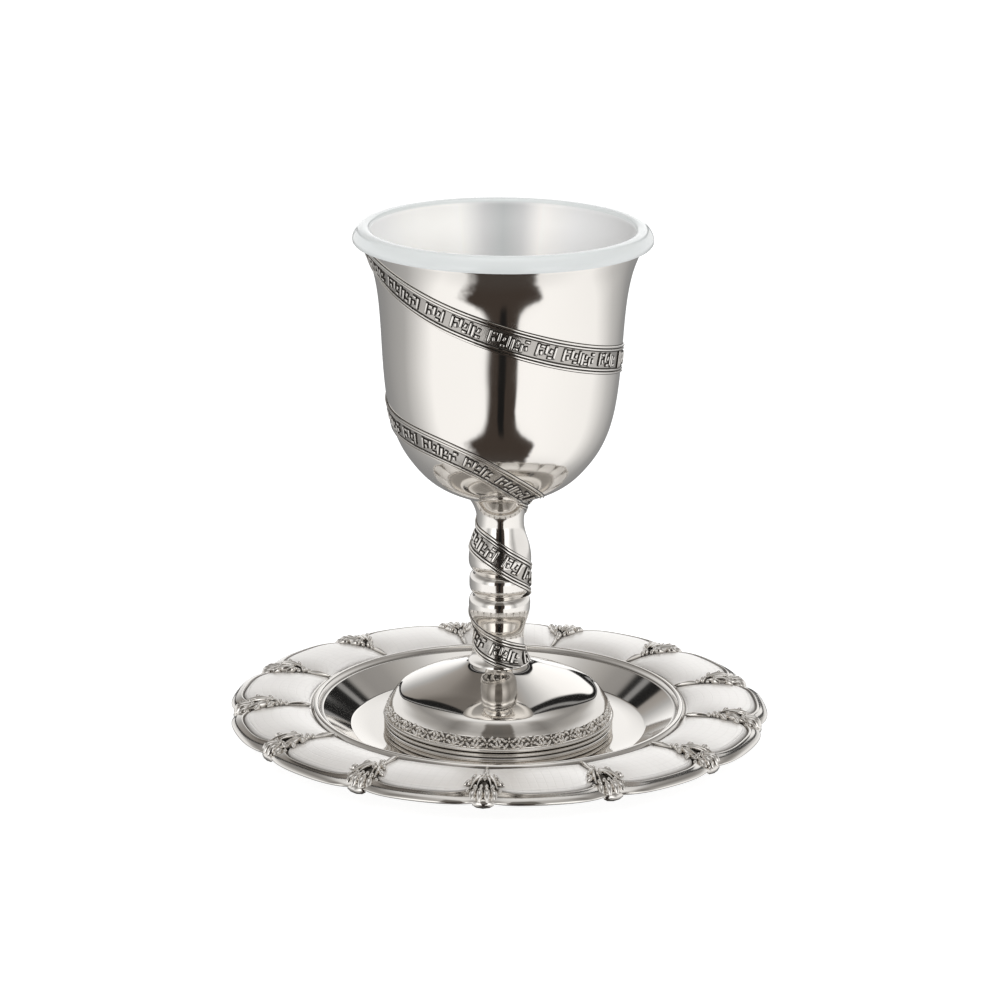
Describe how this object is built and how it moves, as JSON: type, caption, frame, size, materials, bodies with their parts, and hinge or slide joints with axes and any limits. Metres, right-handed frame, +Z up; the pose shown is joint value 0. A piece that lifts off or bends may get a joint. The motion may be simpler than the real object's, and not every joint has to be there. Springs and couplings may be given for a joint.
{
  "type": "kiddush cup",
  "caption": "Footed wine cup for blessings, wound with a spiral ribbon, with a lift-out drinking insert, standing in a petalled saucer.",
  "frame": {"origin": "middle of the saucer's flat underside, on the table", "axes": "+Z up along the cup's axis; -Y is the front, from which the upper ribbon's end bar shows at the right"},
  "size_m": [0.1341, 0.1341, 0.1282],
  "materials": {
    "nickel": "warm polished nickel plate, dark in the hollows of the carving, satin on the saucer's petals",
    "milky_plastic": "milky white lip, silvery satin inside"
  },
  "bodies": {
    "root": {"saucer": "nickel", "foot": "nickel", "stem": "nickel", "bowl": "nickel", "insert": "milky_plastic"}
  },
  "joints": []
}
